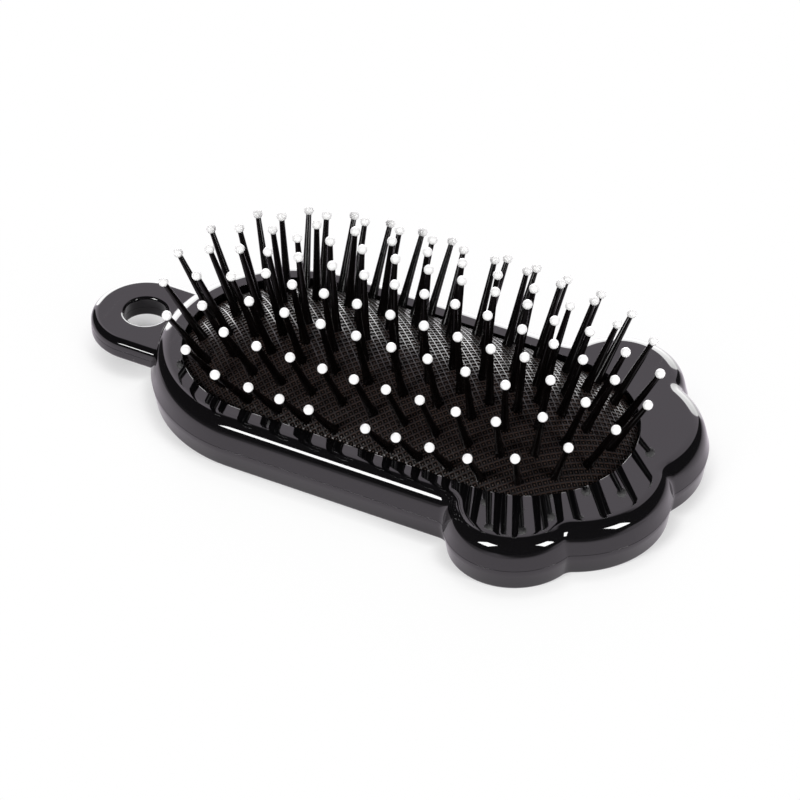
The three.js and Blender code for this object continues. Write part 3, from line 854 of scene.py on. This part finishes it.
from_middle = np.arange(centre_pin_count) - (centre_pin_count - 1) / 2
centre_x = window_half_length + from_middle * centre_pin_pitch
strips = [("centre", "centre_pins", np.stack([centre_x, 0 * centre_x], axis=1))]
for ring_name, body, share, short, slots, push, open_sides in pin_rings:
    radius = share * (window_radius - pin_margin)
    half_length = window_half_length - short
    whole = 2 * np.pi * radius + 4 * half_length
    for part, letter in enumerate("abcd"):
        k = np.arange(np.ceil(part * slots / 4), (part + 1) * slots / 4)
        if open_sides:
            k = k[k % (slots / 2) != slots / 4]
        distance = whole * k / slots + push * np.sin(4 * np.pi * k / slots)
        strips.append((ring_name + letter, body, loop_point(half_length, radius, distance)))
print(len(strips), "strips with", sum(len(feet) for _, _, feet in strips), "pins")

# %% [markdown]
# A pin is a turned shape, so it is a profile of (radius, height) carried round its axis. A
# cone-shaped collar sits on the rubber, a slim shaft rises from it, and the tip is a ball.
# All the pins of a strip come from one array: foot, plus height along the axis, plus radius
# in two directions square to it. Behind the pad a flat bar joins the necks.

# %% Pins, ball tips and strips
pin_sides = 12
ball_sides = 18
ball_rows = 11
bar_corner = 0.2 * mm
collar_sink = 0.3 * mm


def strip_depth(axis):
    """How far the middle of the bar lies under the pad's face, along each pin's axis."""
    return pad_thickness * axis[:, 2] + strip_drop + strip_thickness / 2


def turned_points(feet, axis, profile, sides):
    """Points of turned shapes, indexed (pin, profile point, side, xyz): foot + height * axis
    + radius * (cos * first + sin * second), where first and second are square to the axis."""
    first_way = np.cross(axis, [0, 1, 0])
    first_way /= np.linalg.norm(first_way, axis=1, keepdims=True)
    second_way = np.cross(axis, first_way)
    angle = 2 * np.pi * np.arange(sides) / sides
    cosine, sine = np.cos(angle)[None, :, None], np.sin(angle)[None, :, None]
    way = cosine * first_way[:, None] + sine * second_way[:, None]
    base = lift(feet, pad_height(feet[:, 0], feet[:, 1]))
    radius, height = profile[..., 0], profile[..., 1]
    return (base[:, None, None] + height[..., None, None] * axis[:, None, None]
            + radius[..., None, None] * way[:, None])


def turned_faces(pins, rows, sides):
    """Faces of as many turned shapes as there are pins, numbered one after another."""
    first = rows * sides * np.arange(pins)
    return (grid_faces(rows, sides)[None] + first[:, None, None]).reshape(-1, 4)


def pin_profile(axis):
    """Neck, collar and shaft as (radius, height) for each pin, closed on the axis at both
    ends. The neck starts in the bar, and the shaft ends inside the ball."""
    depth = -strip_depth(axis)
    shape = [
        (0, None), (neck_radius, None), (neck_radius, -collar_sink),
        (collar_radius - collar_edge, -collar_sink),
        (collar_radius, -collar_sink + 0.1 * mm),
        (collar_radius * 0.98, 0.35 * mm),
        ((collar_radius + collar_top_radius) / 2 - collar_hollow, collar_height / 2),
        (collar_top_radius, collar_height),
        (shaft_radius, pin_tip_height - shaft_end_depth),
        (0, pin_tip_height - shaft_cap_depth),
    ]
    rows = [np.stack([radius + 0 * depth, depth if height is None else height + 0 * depth], axis=1)
            for radius, height in shape]
    return np.stack(rows, axis=1)


def ball_profile():
    """Half a circle from the ball's underside to its top, round the pin's tip."""
    latitude = np.linspace(-np.pi / 2, np.pi / 2, ball_rows)
    height = pin_tip_height + ball_radius * np.sin(latitude)
    return np.stack([ball_radius * np.cos(latitude), height], axis=1)


def bar_points(feet, axis):
    """A flat bar with rounded edges carried along the pins' necks: its section of eight
    points stands square on the path, and it overruns both ends by half its width."""
    path = lift(feet, pad_height(feet[:, 0], feet[:, 1])) - strip_depth(axis)[:, None] * axis
    ahead = np.gradient(path, axis=0)
    ahead /= np.linalg.norm(ahead, axis=1, keepdims=True)
    aside = np.cross(ahead, axis)
    aside /= np.linalg.norm(aside, axis=1, keepdims=True)
    up = np.cross(aside, ahead)
    path[0] -= ahead[0] * strip_width / 2
    path[-1] += ahead[-1] * strip_width / 2
    wide, thick = strip_width / 2, strip_thickness / 2
    less_wide, less_thick = wide - bar_corner, thick - bar_corner
    section = np.array([
        (wide, -less_thick), (wide, less_thick), (less_wide, thick), (-less_wide, thick),
        (-wide, less_thick), (-wide, -less_thick), (-less_wide, -thick), (less_wide, -thick),
    ])
    across, above = section[None, :, :1], section[None, :, 1:]
    rows = path[:, None] + across * aside[:, None] + above * up[:, None]
    near_end, far_end = (np.repeat(end[None, None], len(section), axis=1) for end in (path[0], path[-1]))
    return np.concatenate([near_end, rows, far_end])


for strip_name, body, feet in strips:
    axis = pad_axis(feet)
    pins = turned_points(feet, axis, pin_profile(axis), pin_sides)
    bar = bar_points(feet, axis)
    faces = turned_faces(len(feet), pins.shape[1], pin_sides)
    bar_faces = grid_faces(len(bar), bar.shape[1], first=pins.size // 3)
    strip = make_piece(
        "pins_" + strip_name,
        np.concatenate([pins.reshape(-1, 3), bar.reshape(-1, 3)]),
        np.concatenate([faces, bar_faces]),
        body, pin_black,
    )
    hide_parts("pin_strip_" + strip_name)
    balls = turned_points(feet, axis, ball_profile()[None], ball_sides)
    make_piece(
        "ball_tips_" + strip_name, balls,
        turned_faces(len(feet), balls.shape[1], ball_sides),
        body, ball_white,
    )

# %% [markdown]
# The clamp ring that holds the pad's flange against the deck is hidden inside. Its solid has
# the right shape, so it stays, and only takes a finish.

# %% Clamp ring
clamp_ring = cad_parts["pad_clamp_ring"]
clamp_ring.data.materials.clear()
clamp_ring.data.materials.append(inner_grey)
print("finished", clamp_ring.name)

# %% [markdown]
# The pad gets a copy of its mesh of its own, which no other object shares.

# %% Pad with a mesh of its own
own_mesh(pad)

# %% [markdown]
# The brush was photographed on a white table with a long lens, from the front left of its
# rear end and about 39 degrees above the table. A long lens from far away keeps lines that
# are parallel nearly parallel.

# %% Camera
view_azimuth = np.radians(27.675)
view_elevation = np.radians(38.933)
view_distance = 1341.4 * mm
view_target = Vector((-0.146 * mm, 7.205 * mm, 0))
level_reach = np.cos(view_elevation)
right = Vector((np.cos(view_azimuth), np.sin(view_azimuth), 0))
forward = Vector((-right.y * level_reach, right.x * level_reach, -np.sin(view_elevation)))
upward = right.cross(forward)
camera_data = bpy.data.cameras.new("camera")
camera_data.sensor_width = 36
camera_data.lens = 287.9
camera = bpy.data.objects.new("camera", camera_data)
turn = Matrix((right, upward, -forward)).transposed().to_4x4()
camera.matrix_world = Matrix.Translation(view_target - forward * view_distance) @ turn
bpy.context.scene.collection.objects.link(camera)
bpy.context.scene.camera = camera
print("camera at", [round(value, 3) for value in camera.location])

# %% [markdown]
# Gloss black shows its surroundings more than itself, so the light is read from the brush:
# every bright patch on it is the mirror image of a light, in a direction that the slope of
# the plastic gives away. The line on the near rim and the patches on the toes are two lit
# panels, one on each side of the camera, that lean towards each other at the top. The deck
# mirrors a grey backdrop, the far rim a round lamp that stands low behind the brush, and the
# dark bands the dark room above. The walls mirror the table.

# %% Lit panels beside the camera
panel_distance = 1.6
panel_radiance = 19


def towards(azimuth, elevation):
    """Unit directions from the brush, from angles in degrees: (cos e cos a, cos e sin a,
    sin e)."""
    a, e = np.radians(azimuth), np.radians(elevation)
    return np.stack([np.cos(e) * np.cos(a), np.cos(e) * np.sin(a), np.sin(e)], axis=-1)


def lit_panel(name, corners):
    """A lamp of four corners, given as (azimuth, elevation) seen from the brush."""
    glow = bpy.data.materials.new(name)
    glow.use_nodes = True
    tree = glow.node_tree
    emission = add_node(tree, "ShaderNodeEmission", [("Strength", panel_radiance)])
    feed(tree.nodes["Material Output"], Surface=emission.outputs[0])
    azimuth, elevation = np.array(corners, dtype=float).T
    points = towards(azimuth, elevation) * panel_distance - [rear_x, 0, 0]
    panel = make_piece(name, points, np.array([[0, 1, 2, 3]]), material=glow)
    panel.visible_camera = False


lit_panel("panel_left", [(-122, 20), (-103, 20), (-90, 40), (-111, 43)])
lit_panel("panel_right", [(-15, 15), (2, 14), (-4, 36), (-25, 37)])

# %% Room with a grey backdrop and a round lamp
white = (1.0, 1.0, 1.0)
room_tone = (0.985, 0.9, 1.0)
backdrop_lean = 0.36
backdrop_right, backdrop_left, backdrop_top = (85.0, 86.5), (149.0, 151.0), (54.0, 61.0)
lamp_heading, lamp_rise = 115.0, 5.5
lamp_core, lamp_edge = 29.6, 30.6
dark_level = 0.05
room = bpy.data.worlds.new("room")
bpy.context.scene.world = room
room.use_nodes = True
tree = room.node_tree
background = tree.nodes["Background"]
direction = add_node(tree, "ShaderNodeTexCoord").outputs["Generated"]
parts = add_node(tree, "ShaderNodeSeparateXYZ", [("Vector", direction)])
turn_round = math_node(tree, "ARCTAN2", parts.outputs["Y"], parts.outputs["X"])
heading = math_node(tree, "DEGREES", turn_round)
rise = math_node(tree, "DEGREES", math_node(tree, "ARCSINE", parts.outputs["Z"]))

leaning = math_node(tree, "ADD", heading, math_node(tree, "MULTIPLY", rise, backdrop_lean))
backdrop = math_node(
    tree, "MULTIPLY",
    spread(tree, leaning, *backdrop_right, 0.0, 1.0),
    spread(tree, heading, *backdrop_left, 1.0, 0.0),
    spread(tree, rise, *backdrop_top, 1.0, 0.0),
    spread(tree, heading, 124.0, 147.0, 0.95, 1.7),
)

beside = math_node(tree, "SUBTRACT", heading, lamp_heading)
above = math_node(tree, "SUBTRACT", rise, lamp_rise)
squares = (math_node(tree, "MULTIPLY", way, way) for way in (beside, above))
from_lamp = math_node(tree, "SQRT", math_node(tree, "ADD", *squares))
in_lamp = spread(tree, from_lamp, lamp_core, lamp_edge, 1.0, 0.0)
lamp = math_node(
    tree, "MULTIPLY", in_lamp,
    spread(tree, heading, 90.0, 112.0, 4.3, 8.0),
    spread(tree, rise, 2.0, 10.0, 0.7, 1.0),
)

dark_room = math_node(tree, "ADD", backdrop, lamp, dark_level)
seen = add_node(tree, "ShaderNodeLightPath").outputs["Is Camera Ray"]
level = add_node(tree, "ShaderNodeMix", [("Factor", seen), (2, dark_room), (3, 1.0)])
lit = math_node(tree, "MAXIMUM", seen, in_lamp)
feed(background, Color=blend_colour(tree, lit, room_tone, white), Strength=level.outputs[0])
print("made", room.name)

# %% [markdown]
# The table is white paper. What the camera and the reflections see of it is part light of
# its own and part lit surface, so it stays an even white and still keeps the soft shadow.
# The share of its own light grows with the distance from the brush: it is small inside the
# hanging ring, half at the foot of the walls and nearly whole a few millimetres away. The
# distance to a shape made of circles is the least distance to any of them, less its radius,
# and the table is a grid that is fine near the brush, so a point attribute can hold it.
# The walls mirror white paper up to about 50 mm in front of the brush and dark room past
# it, while the paper runs on behind the brush. A second attribute holds what they mirror.
# Behind the brush the smooth paper also mirrors the round lamp, more so the flatter the
# light comes in. The far rim shows that, so a third attribute keeps this sheen behind it.

# %% What the table gives off, point by point
def beyond_circle(points, centre, radius):
    """Distance of points outside a circle, negative inside it."""
    return np.hypot(points[:, 0] - centre[0], points[:, 1] - centre[1]) - radius


fine_step = 1.25 * mm
fine_reach = (110 * mm, 80 * mm)
coarse_stops = np.array([2, 6])
table_x, table_y = (
    np.concatenate([-coarse_stops[::-1], np.arange(-reach, reach, fine_step), coarse_stops])
    for reach in fine_reach
)
table_plan = np.stack(np.meshgrid(table_x, table_y), axis=-1).reshape(-1, 2) - [rear_x, 0]
one_side = np.stack([table_plan[:, 0], np.abs(table_plan[:, 1])], axis=1)
along_body = np.clip(one_side[:, 0], 0, outer_toe[0] - outer_toe_radius)
from_brush = np.min([
    np.hypot(one_side[:, 0] - along_body, one_side[:, 1]) - body_half_width,
    beyond_circle(one_side, outer_toe, outer_toe_radius),
    beyond_circle(one_side, inner_toe, inner_toe_radius),
    beyond_circle(one_side, ring_centre, ring_radius),
], axis=0)
in_front = from_brush - np.maximum(table_plan[:, 1], 0)
table_marks = {
    "own_share": np.interp(
        from_brush / mm, [-6, 0, 1, 2.5, 6, 12, 40], [0.15, 0.5, 0.62, 0.86, 0.95, 0.97, 1],
    ),
    "mirrored_light": np.interp(in_front / mm, [30, 42, 52, 70], [1, 0.75, 0.3, 0.1]),
    "sheen_share": np.interp(table_plan[:, 1] / mm, [10, 25], [0, 1]),
}
print("least distance", round(1000 * from_brush.min(), 1), "mm")

# %% White table
table_finish = bpy.data.materials.new("white_table")
table_finish.use_nodes = True
tree = table_finish.node_tree
paper = tree.nodes["Principled BSDF"]
paper.inputs["Base Color"].default_value = (0.92, 0.92, 0.92, 1)
paper.inputs["Roughness"].default_value = 0.9
paper.inputs["Specular IOR Level"].default_value = 0.2
path = add_node(tree, "ShaderNodeLightPath").outputs
share, mirrored, behind = (
    add_node(tree, "ShaderNodeAttribute", attribute_name=label).outputs["Fac"] for label in table_marks
)


def mix_shaders(part, first, second):
    """A Mix Shader node that goes from the first shader to the second by a part."""
    links = [(0, part), (1, first.outputs[0]), (2, second.outputs[0])]
    return add_node(tree, "ShaderNodeMixShader", links)


own_light = add_node(tree, "ShaderNodeEmission", [
    ("Color", blend_colour(tree, path["Is Camera Ray"], room_tone, white)),
    ("Strength", math_node(tree, "MAXIMUM", path["Is Camera Ray"], mirrored)),
])
sheen = add_node(tree, "ShaderNodeBsdfAnisotropic", [("Roughness", 0.08)])
grazing = add_node(tree, "ShaderNodeFresnel", [("IOR", 1.5)]).outputs[0]
sheen_part = math_node(tree, "MULTIPLY", path["Is Glossy Ray"], grazing, behind)
with_sheen = mix_shaders(sheen_part, own_light, sheen)
seen = math_node(
    tree, "MAXIMUM", path["Is Camera Ray"], path["Is Glossy Ray"], path["Is Transmission Ray"],
)
mixed = mix_shaders(math_node(tree, "MULTIPLY", seen, share), paper, with_sheen)
feed(tree.nodes["Material Output"], Surface=mixed.outputs[0])
table_points = lift(table_plan, 0)
table_faces = grid_faces(len(table_y), len(table_x), close_columns=False)
table = make_piece("table", table_points, table_faces, material=table_finish)
for label, values in table_marks.items():
    mark = table.data.attributes.new(label, "FLOAT", "POINT")
    mark.data.foreach_set("value", values.astype(np.float32))

# %% [markdown]
# The view transform called Standard shows each colour as it was written. It is set last,
# and the scene is updated.

bpy.context.scene.view_settings.view_transform = "Standard"
bpy.context.view_layer.update()
